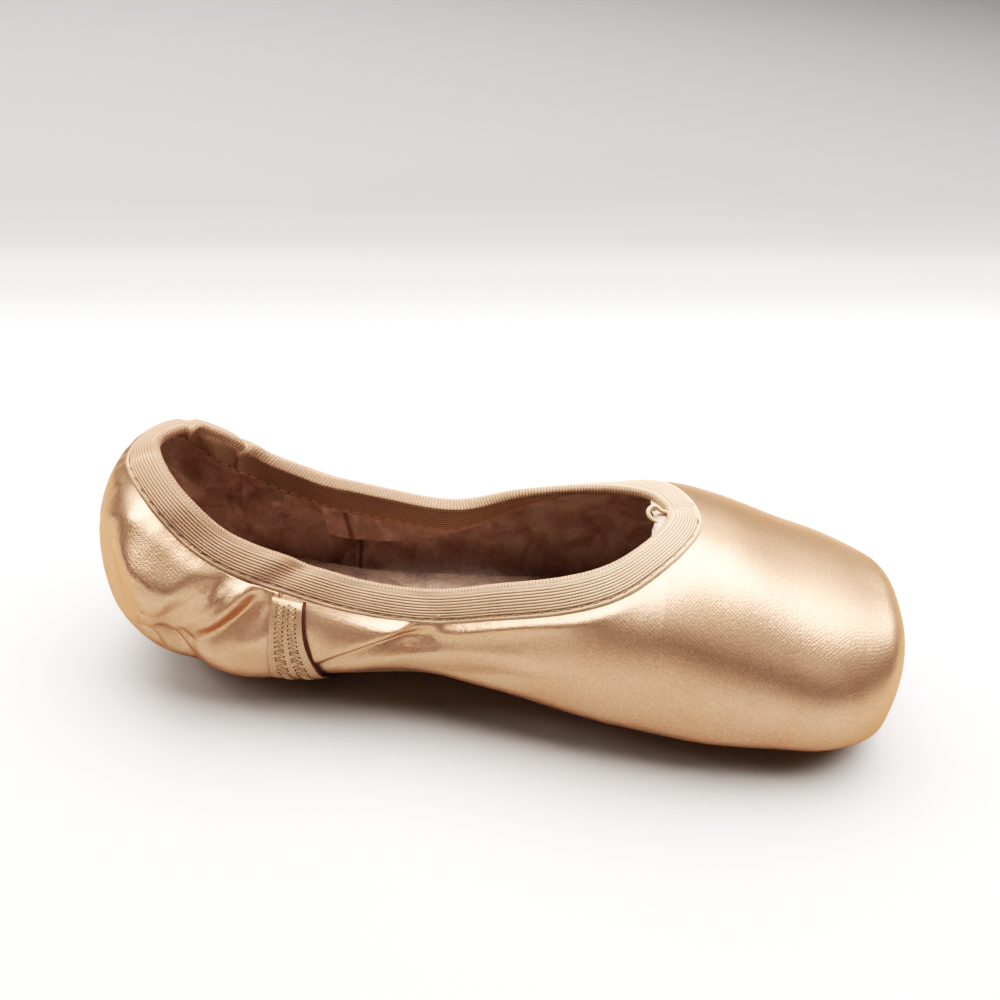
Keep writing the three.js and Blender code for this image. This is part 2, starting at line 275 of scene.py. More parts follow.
# Places around the shoe are measured from the back seam along the side, left positive.
heel_turns = np.radians(np.linspace(90, 0, 181))
heel_edge = heel_reach(heel_turns)
heel_outline = np.stack([-heel_edge * np.sin(heel_turns), heel_edge * np.cos(heel_turns)], 1)
heel_steps = np.linalg.norm(np.diff(heel_outline, axis=0), axis=1)
heel_arc = np.concatenate([[0], np.cumsum(heel_steps)])
heel_quarter = heel_arc[-1]
toe_start = length - toe_round
toe_corner = heel_quarter + toe_start - heel_centre
tip_half = section_at(length)["half"] - toe_round
toe_middle = toe_corner + toe_round * math.pi / 2 + tip_half


def last_point(around, level, grown=0.0, tip=0.0):
    """A point of the last. level runs from 0 at the bottom line to 1 at the crown line."""
    far, side = np.abs(around), np.where(around < 0, -1.0, 1.0)
    turn = np.interp(far, heel_arc, heel_turns)
    bend = np.clip((far - toe_corner) / toe_round, 0, math.pi / 2)
    x = np.clip(far - heel_quarter + heel_centre, heel_centre, toe_start)
    x = x + toe_round * np.sin(bend)
    inset = toe_round * (1 - np.cos(bend))
    across = np.clip((toe_middle - far) / tip_half, 0, 1)
    beside = section_at(x)
    out = grown - inset
    angle = (level - 0.5) * math.pi
    power = 2 / np.where(level < 0.5, beside["under"], beside["over"])
    inward = np.cos(angle).clip(0) ** power
    edge = np.where(turn > 0, heel_reach(turn), beside["half"])
    place_x = np.where(turn > 0, x - edge * inward * np.sin(turn), x)
    section = section_at(place_x)
    rise = np.abs(np.sin(angle)) ** power
    lower = section["widest"] - (section["widest"] - section["bottom"] + out) * rise
    upper = section["widest"] + (section["crown"] + out - section["widest"]) * rise
    reach = (edge + out) * inward
    stretch = tip * np.clip((x - heel_centre) / (length - heel_centre), 0, 1)
    return np.stack([
        x + stretch - reach * np.sin(turn),
        side * reach * across * np.cos(turn),
        np.where(level < 0.5, lower, upper),
    ], -1)


def over_plan(x, y, grown=0.0, upper=True):
    """The height of the last's upper side, or of its under side, over a place in plan."""
    section = section_at(x)
    behind = x < heel_centre
    turn = np.where(behind, np.arctan2(heel_centre - x, np.abs(y)), 0)
    away = np.where(behind, np.hypot(heel_centre - x, y), np.abs(y))
    edge = np.where(behind, heel_reach(turn), section["half"]) + grown
    power = section_at(np.maximum(x, heel_centre))["over" if upper else "under"]
    part = (1 - np.minimum(1, away / edge) ** power) ** (1 / power)
    if upper:
        return section["widest"] + (section["crown"] + grown - section["widest"]) * part
    return section["widest"] - (section["widest"] - section["bottom"] + grown) * part


def plan_outline(rows, count, more=0.0):
    """A closed outline in plan through a table of half widths, in count even steps."""
    rows = np.array(rows, float)
    rows[0, 0] -= more
    rows[-1, 0] += more
    rows[1:-1, 1] += more
    edge = np.concatenate([rows, rows[-2:0:-1] * [1, -1]])
    wrapped = np.concatenate([edge[-3:], edge, edge[:4]])
    chords = np.sqrt(np.linalg.norm(np.diff(wrapped, axis=0), axis=1))
    knots = np.concatenate([[0], np.cumsum(chords)])
    fine = np.linspace(knots[3], knots[3 + len(edge)], 4001)
    curve = curve_through(np.column_stack([knots, wrapped]), fine)
    run = np.concatenate([[0], np.cumsum(np.linalg.norm(np.diff(curve, axis=0), axis=1))])
    even = np.linspace(0, run[-1], count, endpoint=False)
    return np.stack([np.interp(even, run, curve[:, i]) for i in (0, 1)], 1)


def to_frame(points):
    """Millimetres from the heel's back to metres in the part's frame."""
    return (points - [length / 2, 0, 0]) * mm


# Satin upper: vamp and wings of champagne-peach satin, pulled over canvas and a pasted toe box,
# drawn under the toe in pleats and glued below the sole. It runs forward of the side seams.

upper_rear = heel_quarter + 57 - heel_centre
wing_end = 166
wing_columns = 165
vamp_columns = 97
left_columns = 88
upper_rows_count = 95
upper_below_rim = 5.0
seam_allowance = 5
satin_thick = 0.35

# Each crease is a soft ridge, or a trough where its depth is negative, along a curve through
# three places, each given around and up the shoe. side -1 is the right side. The two widths are
# those of its left and its right slope, seen along it with the toe to the right.
upper_creases = [
    [-1, 84, 16.0, 103, 26.0, 127, 38.0, -2.2, 0.9, 4.5],
    [-1, 119, 31.5, 137, 38.5, 174, 50.5, 2.4, 3.4, 4.5],
    [-1, 112, 26.0, 134, 34.0, 158, 41.0, -1.2, 3.5, 5.0],
    [-1, 100, 20.0, 122, 27.0, 146, 31.0, 0.8, 4.0, 4.0],
    [-1, 96, 13.0, 110, 16.0, 128, 13.0, -0.8, 3.0, 3.0],
    [-1, 120, 18.0, 136, 22.0, 154, 24.0, -0.5, 3.0, 4.0],
    [1, 90, 20, 106, 28, 124, 36, 1.6, 3.0, 4.5],
    [1, 108, 22, 122, 28, 136, 34, -1.9, 3.0, 4.5],
    [1, 118, 31, 132, 38, 156, 47, 1.2, 2.5, 3.5],
    [1, 86, 14, 100, 17, 118, 15, -0.8, 3.5, 3.5],
    [1, 100, 20, 122, 27, 146, 31, 0.7, 4.0, 4.0],
]
heel_creases = [
    [-1, 22, 52, 28, 42, 30, 27, -2.1, 6.5, 5.0],
    [-1, 29, 56, 39, 42, 36.5, 22, 1.7, 6.0, 3.4],
    [-1, 17, 50, 28, 57, 40, 59, 1.1, 3.0, 4.0],
    [-1, 36, 26, 45, 37, 55, 48, 1.4, 6.0, 3.8],
    [-1, 40, 30, 50, 36, 60, 41, -0.8, 2.5, 4.0],
    [-1, 26, 52, 40, 44, 57, 37, 2.7, 6.5, 10.0],
    [-1, 74, 44, 65, 33, 51, 21, -4.0, 4.2, 3.0],
    [-1, 71, 45, 62, 34.5, 54, 27, 1.7, 2.4, 2.0],
    [-1, 56, 40, 62, 44, 68, 46, -1.2, 3.2, 3.2],
    [-1, 36, 27, 39, 23, 41, 14, -1.8, 1.4, 2.2],
    [-1, 42, 29, 45, 24, 47, 16, -2.0, 1.6, 2.6],
    [-1, 48, 28, 50, 23, 51, 16, -1.3, 1.4, 2.4],
    [-1, 44, 26, 48, 18, 53, 11, -1.7, 1.5, 2.4],
    [-1, 52, 15, 62, 13, 73, 14, 1.1, 6.0, 6.0],
    [-1, 62, 22, 68, 25, 75, 30, 0.8, 4.0, 4.0],
    [-1, 60, 44, 53, 37, 46, 31, 0.35, 0.8, 0.8],
    [-1, 63, 42, 56, 34, 49, 28, 0.35, 0.8, 0.8],
    [-1, 66, 42, 59, 33, 52, 26, 0.35, 0.7, 0.9],
    [-1, 30, 50, 36, 45, 43, 42, -0.6, 1.5, 2.0],
    [-1, 34, 38, 38, 34, 43, 33, -0.5, 1.0, 1.6],
    [-1, 24.6, 66, 18, 57, 12, 44, -1.3, 0.7, 0.7],
    [-1, 12, 44, 6, 28, 3, 10, -1.1, 0.7, 0.7],
    [-1, 6, 20, 20, 14, 34, 8, -2.4, 8.0, 7.0],
    [1, 20, 52, 29, 41, 33, 26, -2.6, 6.0, 5.0],
    [1, 34, 54, 39, 40, 36, 24, 1.9, 2.0, 4.5],
    [1, 38, 26, 47, 35, 58, 46, 1.6, 2.6, 6.0],
    [1, 73, 44, 64, 33, 50, 20, -3.6, 3.0, 4.4],
    [1, 70, 46, 61, 35, 53, 27, 1.4, 2.0, 2.4],
    [1, 42, 28, 45, 23, 46, 15, -1.6, 2.4, 1.6],
    [1, 50, 27, 52, 21, 52, 15, -1.1, 2.2, 1.4],
    [1, 54, 14, 64, 12, 74, 14, 2.0, 6.0, 6.0],
]


def crease_height(around, height, rows):
    """How far the creases of a table move the surface out, at places around and up the shoe."""
    moved = np.zeros(around.shape)
    place = np.stack([around, height], -1)
    steps = np.linspace(0, 1, 11)[:, None]
    for side, *numbers in rows:
        points = np.array(numbers[:6], float).reshape(3, 2) * [side, 1]
        depth, left, right = numbers[6:]
        bend = 2 * points[1] - (points[0] + points[2]) / 2
        path = (1 - steps) ** 2 * points[0] + 2 * steps * (1 - steps) * bend + steps**2 * points[2]
        nearest = np.full(around.shape, 1e9)
        along = np.zeros(around.shape)
        width = np.ones(around.shape)
        for i, (start, end) in enumerate(zip(path[:-1], path[1:])):
            run = end - start
            part = np.clip(((place - start) @ run) / (run @ run), 0, 1)
            away = place - start - part[..., None] * run
            gap = np.hypot(away[..., 0], away[..., 1])
            rightward = (run[0] * away[..., 1] - run[1] * away[..., 0]) * side < 0
            closer = gap < nearest
            along = np.where(closer, (i + part) / (len(steps) - 1), along)
            width = np.where(closer, np.where(rightward, right, left), width)
            nearest = np.where(closer, gap, nearest)
        fade = 1 - (2 * along - 1) ** 2 * 0.95
        moved += depth * fade * np.exp(-((nearest / width) ** 1.6))
    return moved


def reach_behind(outline, turn):
    """How far an outline lies from the heel's centre, in the heel's round."""
    rear = outline[(outline[:, 0] < heel_centre + 1) & (outline[:, 1] >= 0)]
    turns = np.arctan2(heel_centre - rear[:, 0], rear[:, 1])
    order = np.argsort(turns)
    away = np.hypot(heel_centre - rear[:, 0], rear[:, 1])
    return np.interp(turn, turns[order], away[order])


def level_at_outline(around, outline, more, upper):
    """The level at which each column crosses an outline, above the last or below it."""
    far = np.abs(around)
    turn = np.interp(far, heel_arc, heel_turns)
    right = outline[outline[:, 1] >= 0]
    right = right[np.argsort(right[:, 0])]
    levels = np.linspace(0.5, 1, 401) if upper else np.linspace(0, 0.5, 401)
    found = np.empty(len(around))
    for i, place in enumerate(around):
        column = last_point(np.full(len(levels), place), levels)
        if turn[i] > 0:
            away = np.hypot(column[:, 0] - heel_centre, column[:, 1])
            wanted = reach_behind(outline, turn[i]) + more
        else:
            away = np.abs(column[:, 1])
            x = column[len(levels) // 2, 0]
            wanted = np.interp(x, right[:, 0], right[:, 1], left=-more, right=-more) + more
            if x > right[-1, 0]:
                wanted = 0
        if wanted <= 0:
            found[i] = 1 if upper else 0
        else:
            order = np.argsort(away)
            found[i] = np.interp(wanted, away[order], levels[order])
    return found


def level_at_height(around, heights):
    """The level at which each column of the last has a height."""
    levels = np.linspace(0, 1, 401)
    columns = [last_point(np.full(len(levels), place), levels)[:, 2] for place in around]
    return np.array([np.interp(z, column, levels) for z, column in zip(heights, columns)])


def lasted_grid(around, low, high, rows, grown=0.0, tip=0.0):
    """Points in even steps up each column, their outward normals and their run in millimetres."""
    share = np.linspace(0, 1, 161)[:, None]
    fine = low + (high - low) * share
    columns = last_point(np.broadcast_to(around, fine.shape), fine, grown, tip)
    run = np.linalg.norm(np.diff(columns, axis=0), axis=2)
    run = np.concatenate([np.zeros((1, len(around))), np.cumsum(run, axis=0)])
    level = np.empty((rows, len(around)))
    for i in range(len(around)):
        level[:, i] = np.interp(np.linspace(0, run[-1, i], rows), run[:, i], fine[:, i])
    points = last_point(np.broadcast_to(around, level.shape), level, grown, tip)
    normals = np.cross(np.gradient(points, axis=1), np.gradient(points, axis=0))
    size = np.linalg.norm(normals, axis=2, keepdims=True)
    normals = normals / np.maximum(size, 1e-9)
    centre = np.stack([np.clip(points[..., 0], core_from, core_tip), 0 * points[..., 0],
                       np.full(level.shape, float(core_height))], -1)
    if ((points - centre) * normals).sum() < 0:
        normals = -normals
    upright = np.linspace(0, 1, rows)[:, None] * run[-1]
    return points, normals, upright


def sewn_sheet(name, points, across, up):
    """A sheet from a grid primitive, laid on the points, with a UV map in metres."""
    rows, columns = points.shape[:2]
    bpy.ops.object.select_all(action="DESELECT")
    bpy.ops.mesh.primitive_grid_add(x_subdivisions=columns - 1, y_subdivisions=rows - 1, size=1)
    sheet = bpy.context.object
    sheet.name = sheet.data.name = name
    flat = np.empty(len(sheet.data.vertices) * 3)
    sheet.data.vertices.foreach_get("co", flat)
    flat = flat.reshape(-1, 3)
    column = np.rint((flat[:, 0] + 0.5) * (columns - 1)).astype(int)
    row = np.rint((flat[:, 1] + 0.5) * (rows - 1)).astype(int)
    sheet.data.vertices.foreach_set("co", to_frame(points[row, column]).ravel())
    corner = np.empty(len(sheet.data.loops), int)
    sheet.data.loops.foreach_get("vertex_index", corner)
    places = np.stack([np.broadcast_to(across, (rows, columns)), up], -1)[row, column] * mm
    sheet.data.uv_layers.active.data.foreach_set("uv", places[corner].ravel())
    sheet.data.update()
    bpy.ops.object.shade_smooth()
    return sheet


def choose(piece):
    """Selects one piece alone and makes it active."""
    bpy.ops.object.select_all(action="DESELECT")
    piece.select_set(True)
    bpy.context.view_layer.objects.active = piece


def edited(piece, operation, **settings):
    """Runs one operation of edit mode on the whole piece."""
    choose(piece)
    bpy.ops.object.mode_set(mode="EDIT")
    bpy.ops.mesh.select_all(action="SELECT")
    operation(**settings)
    bpy.ops.object.mode_set(mode="OBJECT")


def close_seams(piece, within):
    """Joins the edges of a sheet that meet."""
    edited(piece, bpy.ops.mesh.remove_doubles, threshold=within * mm)


def give_wall(piece, thick):
    """Gives a sheet its thickness, inwards from its face."""
    choose(piece)
    wall = piece.modifiers.new("wall", "SOLIDIFY")
    wall.thickness = thick * mm
    wall.offset = -1
    wall.use_even_offset = False
    bpy.ops.object.modifier_apply(modifier=wall.name)


def finished(piece, material, slot_name, *nodes):
    """Material and body of a piece, and hides the solids that it stands for. slot_name is not used."""
    piece.data.materials.clear()
    piece.data.materials.append(material)
    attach(piece, "root")
    if nodes:
        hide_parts(*nodes)


def eased(value, start, end):
    """0 before start, 1 after end and smooth between."""
    part = np.clip((value - start) / (end - start), 0, 1)
    return part * part * (3 - 2 * part)


collar_outline = plan_outline(collar_rows, 400)
outsole_outline = plan_outline(outsole_rows, 400)

# Duchess satin, polyester: long floats of thread give a broad soft gloss, and the fine twill
# of the back shows as a faint weave. Its lines are drawn 0.7 mm apart, coarser than real.
satin_deep = "#deb496"
satin_pale = "#e9c4ab"
satin_shine = "#e4b98d"
thread_spacing = 0.7
blended = {"data_type": "RGBA"}
darkened = {"data_type": "RGBA", "blend_type": "MULTIPLY"}


def cover(tree, shader, colour, height, depth, strength=1.0):
    """Gives the shader its colour, and a relief with a depth in millimetres."""
    relief = add_node(tree, "Bump", Height=height, Distance=depth * mm, Strength=strength)
    fill(tree, shader.inputs["Base Color"], colour)
    fill(tree, shader.inputs["Normal"], relief)


def woven_satin(name, deep, pale, gloss=0.38, metal=0.72):
    """Peach satin, with its weave along the piece's own UV map."""
    material, tree, shader = new_material(
        name, Roughness=gloss, Metallic=metal, IOR=1.5, Specular_IOR_Level=0.55,
        Specular_Tint=satin_shine, Anisotropic=0.25)
    uv = add_node(tree, "UVMap")
    ribs = []
    for turn, apart, strays in ((-38, thread_spacing, 2.0), (52, thread_spacing * 1.25, 2.5)):
        lie = add_node(tree, "Mapping", Vector=uv, Rotation=(0, 0, math.radians(turn)))
        ribs.append(add_node(
            tree, "TexWave", Vector=lie, Scale=math.pi / 10 / (apart * mm), Distortion=strays,
            Detail=2, Detail_Scale=2.5, wave_profile="SIN", output="Fac"))
    threads = add_node(tree, "Math", *ribs, operation="MULTIPLY")
    place = add_node(tree, "TexCoord", output="Object")
    floats = add_node(tree, "TexNoise", Vector=place, Scale=1300, Detail=2, Roughness=0.6)
    mottle = add_node(tree, "TexNoise", Vector=uv, Scale=60, Detail=3, Roughness=0.5)
    body = add_node(tree, "Mix", mottle, deep, pale, **blended)
    body = add_node(tree, "Mix", 0.09, body, threads, **darkened)
    body = add_node(tree, "Mix", 0.38, body, floats, **darkened)
    grain = add_node(tree, "Math", floats, 3.5, threads, operation="MULTIPLY_ADD")
    cover(tree, shader, body, grain, 0.028, 0.7)
    return material


peach_satin = woven_satin("duchess_satin", satin_deep, satin_pale)

vamp_places = np.linspace(wing_end, toe_middle, vamp_columns)[1:]
right_places = np.concatenate([np.linspace(upper_rear, wing_end, wing_columns), vamp_places])
left_places = np.concatenate([np.linspace(upper_rear, wing_end, left_columns), vamp_places])
around = np.concatenate([-right_places, left_places[-2::-1]])
low = level_at_outline(around, outsole_outline, -seam_allowance, upper=False)
high = level_at_outline(around, collar_outline, upper_below_rim, upper=True)
points, normals, upright = lasted_grid(around, low, high, upper_rows_count)
collar_line = np.column_stack([collar_outline, over_plan(*collar_outline.T)])


def from_collar(points):
    """How far each point lies from the collar's edge."""
    near = np.full(points.shape[:-1], 1e9)
    for place in collar_line[::4]:
        near = np.minimum(near, np.linalg.norm(points - place, axis=-1))
    return near


def from_outsole(points):
    """How far each point lies in plan from the outsole's edge, negative above the outsole."""
    near = np.full(points.shape[:-1], 1e9)
    for place in outsole_outline[::4]:
        near = np.minimum(near, np.linalg.norm(points[..., :2] - place, axis=-1))
    right = outsole_outline[outsole_outline[:, 1] >= 0]
    right = right[np.argsort(right[:, 0])]
    half = np.interp(points[..., 0], right[:, 0], right[:, 1], left=0, right=0)
    return np.where(np.abs(points[..., 1]) < half, -near, near)


# Where the creases fade out towards the binding, and the pleats under the toe: how far from the
# outsole they begin and end, and the height and the place along the shoe where they fade.
crease_fade = (9.5, 14)
pleat_count = 34
pleat_depth = 0.9
pleat_reach = (3, 16)
pleat_height = (5, 10)
pleat_from = (175, 195)
pleat_centre = 185
creases = crease_height(np.broadcast_to(around, upright.shape), points[..., 2], upper_creases)
creases = creases * eased(from_collar(points), *crease_fade)
sole_gap = from_outsole(points)
bearing = np.arctan2(points[..., 1], points[..., 0] - pleat_centre)
pleats = np.abs(np.sin(bearing * pleat_count)) * pleat_depth
pleats *= (1 - eased(points[..., 2], *pleat_height)) * eased(points[..., 0], *pleat_from)
pleats *= (1 - eased(sole_gap, *pleat_reach)) * eased(sole_gap, -1, 1)
relief = creases + pleats
satin_upper = sewn_sheet("satin_upper", points + normals * relief[..., None], around[None], upright)
close_seams(satin_upper, 0.15)
give_wall(satin_upper, satin_thick)
finished(satin_upper, peach_satin, "satin", "upper")


# Quarter fold: slack satin of the right wing that hangs over the wing's lower part in a flap,
# from the side seam up to the binding. Its lower edge is a soft fold with a dark pocket behind.

fold_columns = 111
fold_rows_count = 45
fold_edge = [
    [80.0, 15.6], [84.0, 17.8], [90.5, 21.6], [95.5, 24.0], [100.5, 26.5], [106.0, 29.0],
    [111.5, 31.8], [116.5, 34.4], [121.5, 37.0], [125.0, 38.8],
]
fold_below_rim = 6.0
fold_stand = 0.35
fold_swell = 2.0
swell_reach = 8
fold_curl = 2.0
curl_reach = 0.8
rear_fade = (82, 90)
front_fade = (116, 126)

around = -np.linspace(fold_edge[0][0] - 3, fold_edge[-1][0] + 2, fold_columns)
edge_height = curve_through(fold_edge, -around)[:, 0]
low = level_at_height(around, edge_height)
high = level_at_outline(around, collar_outline, fold_below_rim, upper=True)
points, normals, upright = lasted_grid(around, low, high, fold_rows_count)
ends = eased(-around, *rear_fade) * (1 - eased(-around, *front_fade))
lift = fold_stand + fold_swell * ends * np.exp(-((upright / swell_reach) ** 1.5))
curl = np.exp(-upright / curl_reach) * fold_curl * ends
lift = lift * (0.3 + 0.7 * eased(from_collar(points), 9, 13)) - curl
quarter_fold = sewn_sheet("quarter_fold", points + normals * lift[..., None], around[None], upright)
give_wall(quarter_fold, satin_thick)
finished(quarter_fold, peach_satin, "satin")


# Lining: brushed cotton, mauve-brown, glued inside heel, wings and toe box. It has a seam at
# each side, and loose folds where the slack heel is drawn in. On the left side its slack hangs
# from under the binding as a lip, below which it springs back to the wall.

lining_columns = 401
lining_rows_count = 91
lining_thick = 0.4
lining_creases = [
    [1, 81.8, 25, 84.5, 12, 89, 4, -1.0, 0.7, 0.7],
    [1, 80.2, 25, 83.0, 12, 87.5, 4, 0.7, 0.8, 1.2],
    [-1, 81.8, 30, 84.5, 14, 89, 4, -0.8, 0.7, 0.7],
    [1, 22, 46, 34, 36, 44, 18, 1.3, 3.0, 5.0],
    [1, 36, 44, 48, 33, 56, 18, -1.4, 4.0, 2.5],
    [1, 50, 36, 60, 26, 72, 20, 1.3, 2.0, 4.0],
    [1, 54, 14, 66, 17, 80, 16, -1.1, 2.5, 4.0],
    [1, 44, 28, 50, 20, 58, 9, 0.9, 2.0, 2.0],
    [1, 88, 9, 96, 12, 110, 10, 0.9, 2.5, 3.5],
    [1, 86, 17, 92, 10, 98, 5, -0.8, 1.5, 2.5],
    [-1, 20, 34, 34, 24, 46, 16, 1.0, 5.0, 4.0],
]
lining_below_rim = 4.5
throat_below_rim = 9.5
throat_from = (116, 134)
# Where the wall starts and stops to lean in along the shoe, and how far below its top it hinges.
lean_rear = (22, 32)
lean_front = (100, 134)
lean_from = 8.5
# The lip: place along the shoe, and how far it hangs lower than the hinge.
lip_rows = [
    [56, 13.5], [62, 14.5], [66, 14.2], [74, 12.6], [82, 10.6], [90, 8.0], [98, 4.6], [108, 1.6],
]
nap_deep = "#cbab9c"
nap_pale = "#f5e3d7"
seam_painted_shade = "#74503f"
seam_foot = 90.5
seam_lean = -0.16


def leaning(x, y):
    """How far the slack left wall leans in from the collar: 0 is not at all, 1 is upright."""
    return eased(x, *lean_rear) * (1 - eased(x, *lean_front)) * (y > 0.5)


# Brushed cotton: raised fibres scatter light, so it is matt, mottled and paler at glancing view.
brushed_cotton, tree, shader = new_material(
    "brushed_cotton", Roughness=0.95, Specular_IOR_Level=0.15, Sheen_Weight=0.35,
    Sheen_Roughness=0.6, Sheen_Tint="#e8c9b8")
place = add_node(tree, "TexCoord", output="Object")
clouds = add_node(tree, "TexNoise", Vector=place, Scale=90, Detail=5, Roughness=0.6,
                  Distortion=0.8)
fibres = add_node(tree, "TexNoise", Vector=place, Scale=900, Detail=3, Roughness=0.7)
contrast = add_node(tree, "MapRange", clouds, From_Min=0.33, From_Max=0.67)
mottled = add_node(tree, "Mix", contrast, nap_deep, nap_pale, **blended)
# Painted shade: the seam inside is drawn as a dark line along the lining's own map, in its groove.
uv = add_node(tree, "UVMap")
seam_way = add_node(tree, "Math", add_node(tree, "SeparateXYZ", uv, output="Y"), seam_lean,
                    seam_foot * mm, operation="MULTIPLY_ADD")
seam_gap = add_node(tree, "Math", add_node(tree, "SeparateXYZ", uv, output="X"),
                    operation="ABSOLUTE")
seam_gap = add_node(tree, "Math", seam_gap, seam_way, operation="SUBTRACT")
seam_gap = add_node(tree, "Math", seam_gap, operation="ABSOLUTE")
seam_shade_mask = add_node(tree, "MapRange", seam_gap, From_Min=0.3 * mm, From_Max=1.2 * mm,
                   To_Min=0.6, To_Max=0)
mottled = add_node(tree, "Mix", seam_shade_mask, mottled, seam_painted_shade, **blended)
mottled = add_node(tree, "Mix", 0.25, mottled, fibres, **darkened)
both = add_node(tree, "Math", clouds, 0.7, fibres, operation="MULTIPLY_ADD")
cover(tree, shader, mottled, both, 1.0, 0.9)

around = np.linspace(-toe_middle, toe_middle, lining_columns)
far = np.clip(np.abs(around) - heel_quarter + heel_centre, heel_centre, length)
inner = -section_at(far)["wall"]
low = level_at_outline(around, outsole_outline, -seam_allowance, upper=False)
high = level_at_outline(around, collar_outline, lining_below_rim, upper=True)
throat_cut = level_at_outline(around, collar_outline, throat_below_rim, upper=True)
high = high + (throat_cut - high) * eased(np.abs(around), *throat_from)
points, normals, upright = lasted_grid(around, low, high, lining_rows_count, inner, -tip_wall)
spread = np.broadcast_to(around, upright.shape)
satin_height = (points - normals * inner[:, None])[..., 2]
# The satin's troughs press the lining in, and near the tape it lies on the wall.
pressed = crease_height(spread, satin_height, upper_creases + heel_creases).clip(None, 0)
pressed = pressed * 1.4 - 1.6 * eased(-pressed, 0.05, 0.6)
folds = pressed - 1.6 * crease_height(spread, points[..., 2], lining_creases)
near_tape = 1 - eased(from_collar(points), 9.5, 12)
folds = folds * (1 - near_tape) - (inner + 1.5) * near_tape
folds = folds + pressed * near_tape * eased(from_collar(points), 7, 10)
points = points + normals * folds[..., None]
top = points[-1]
below_top = upright[-1] - upright
leaned = leaning(top[:, 0], top[:, 1])
lip = curve_through(lip_rows, far)[:, 0] * eased(far, 57, 60) * (1 - eased(far, 104, 110))
turn_back = lean_from + lip * leaned
hinge = np.argmin(np.abs(below_top - turn_back), axis=0)
hanging = np.array([0, 0, -0.97])
hung = top + (points - top) * (1 - leaned[:, None]) + (below_top * leaned)[..., None] * hanging
shift = (hung - points)[hinge, np.arange(lining_columns)]
spring_back = np.where(lip > 1, 2.2, 16.0)
past = eased((below_top - turn_back) / spring_back, 0, 1)
points = np.where((below_top < turn_back)[..., None], hung, points + shift * (1 - past)[..., None])
brushed_lining = sewn_sheet("brushed_lining", points, around[None], upright)
close_seams(brushed_lining, 0.05)
give_wall(brushed_lining, lining_thick)
finished(brushed_lining, brushed_cotton, "insole_cloth")


# Insole: a board covered in brown cloth, laid inside over the opening that the outsole closes.
# Outsole: a split-leather leaf glued under the shoe, set in from its edge, with the flesh side out.

insole_margin = 3
insole_thick = 2.2
insole_board = 1.9
gap = 0.3
sole_thick = 2.8
sole_wear = 0.5
leaf_columns = 141
leaf_rows = 41
leaf_tips = 0.3
edge_round = 0.3
leaf_seam = 0.02
outline_steps = 600


def leaf_grid(outline):
    """Plan places over an outline, in even steps along and across."""
    ends = outline[:, 0].min() + leaf_tips, outline[:, 0].max() - leaf_tips
    even = np.linspace(0, 1, leaf_columns)
    x = ends[0] + (ends[1] - ends[0]) * (even + (1 - np.cos(math.pi * even)) / 2) / 2
    right = outline[outline[:, 1] >= 0]
    right = right[np.argsort(right[:, 0])]
    half = np.interp(x, right[:, 0], right[:, 1])
    share = np.linspace(-1, 1, leaf_rows)[:, None]
    return np.broadcast_to(x, (leaf_rows, leaf_columns)), share * half


def rounded_leaf(name, x, y, z, thick):
    """A leaf from its upper face, with its thickness below and its edge broken."""
    piece = sewn_sheet(name, np.stack([x, y, z], -1), x, y)
    close_seams(piece, leaf_seam)
    give_wall(piece, thick)
    edge = piece.modifiers.new("edge", "BEVEL")
    edge.width = edge_round * mm
    edge.segments = 3
    edge.limit_method = "ANGLE"
    edge.angle_limit = math.radians(60)
    bpy.ops.object.modifier_apply(modifier=edge.name)
    bpy.ops.object.shade_smooth_by_angle(angle=math.radians(50))
    return piece


# Twill cloth over board: matt, pinkish brown and worn in patches, with a fine even weave.
insole_twill, tree, shader = new_material("brown_twill", Roughness=0.9, Sheen_Weight=0.2)
place = add_node(tree, "TexCoord", output="Object")
worn = add_node(tree, "TexNoise", Vector=place, Scale=90, Detail=5, Roughness=0.65,
                Distortion=0.6)
worn = add_node(tree, "MapRange", worn, From_Min=0.35, From_Max=0.65)
askew = add_node(tree, "Mapping", Vector=place, Rotation=(0, 0, math.radians(45)))
twill = add_node(tree, "TexWave", Vector=askew, Scale=380, Distortion=1.5, output="Fac")
cloth = add_node(tree, "Mix", worn, "#ad9180", "#dfc6b6", **blended)
cloth = add_node(tree, "Mix", 0.12, cloth, twill, **darkened)
uneven = add_node(tree, "Math", worn, 3.0, twill, operation="MULTIPLY_ADD")
cover(tree, shader, cloth, uneven, 0.15)

x, y = leaf_grid(plan_outline(outsole_rows, outline_steps, insole_margin))
inward = -section_at(x)["wall"] - gap - insole_thick
insole = rounded_leaf("cloth_insole", x, y, over_plan(x, y, inward, upper=False), insole_board)
finished(insole, insole_twill, "insole_cloth", "insole")

# Split leather, chrome tanned: fibrous, matt and tan, a little mottled.
split_leather, tree, shader = new_material(
    "split_leather", Roughness=0.85, Specular_IOR_Level=0.3)
place = add_node(tree, "TexCoord", output="Object")
hide = add_node(tree, "TexNoise", Vector=place, Scale=55, Detail=6, Roughness=0.65)
flesh = add_node(tree, "TexNoise", Vector=place, Scale=1400, Detail=2, Roughness=0.6)
leather = add_node(tree, "Mix", hide, "#8f6a52", "#b18a6f", **blended)
leather = add_node(tree, "Mix", 0.3, leather, flesh, **darkened)
cover(tree, shader, leather, flesh, 0.15, 0.8)

x, y = leaf_grid(plan_outline(outsole_rows, outline_steps))
z = np.maximum(over_plan(x, y, gap + sole_thick + sole_wear, upper=False), 0) + sole_thick
outsole = rounded_leaf("leather_outsole", x, y, z, sole_thick)
finished(outsole, split_leather, "outsole_leather", "outsole")


# Heel panel: stretch satin around the heel, cut generously and drawn in by the elastic binding,
# so that it stands in soft hollows and ridges. It is sewn under the binding and the side bands.

